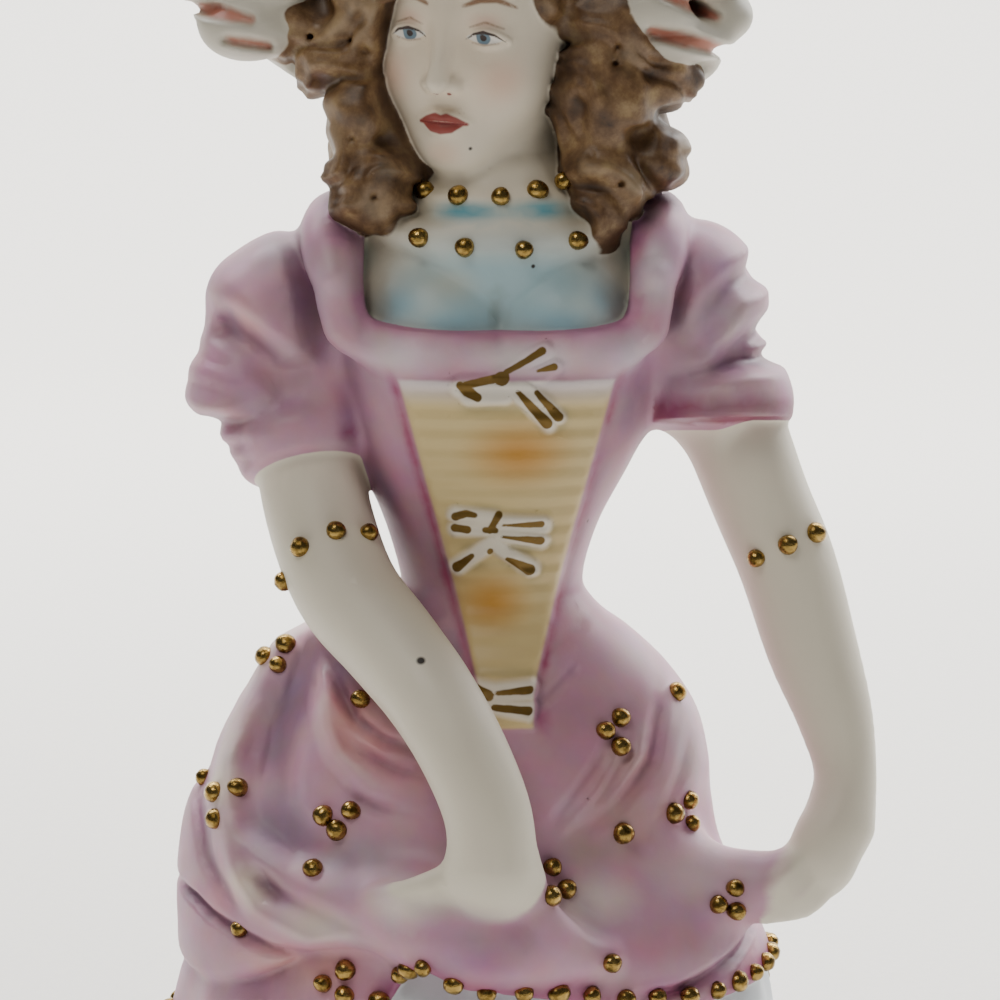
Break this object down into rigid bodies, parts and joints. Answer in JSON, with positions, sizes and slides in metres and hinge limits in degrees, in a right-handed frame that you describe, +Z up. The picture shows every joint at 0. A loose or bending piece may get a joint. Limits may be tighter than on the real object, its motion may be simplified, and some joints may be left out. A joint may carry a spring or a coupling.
{
  "type": "figurine",
  "caption": "Bisque porcelain figurine of a colonial lady in a frilled bonnet, lifting her draped overskirt with both hands",
  "frame": {"origin": "centre of the underside of the base", "axes": "+Z up; the figure faces -Y, with her left arm towards +X"},
  "size_m": [0.122, 0.1105, 0.2924],
  "materials": {
    "bisque": "matt bisque porcelain, airbrushed in rose, lilac and pale blue, with gilt dots"
  },
  "bodies": {
    "root": {"colonial_lady": "bisque"}
  },
  "joints": []
}
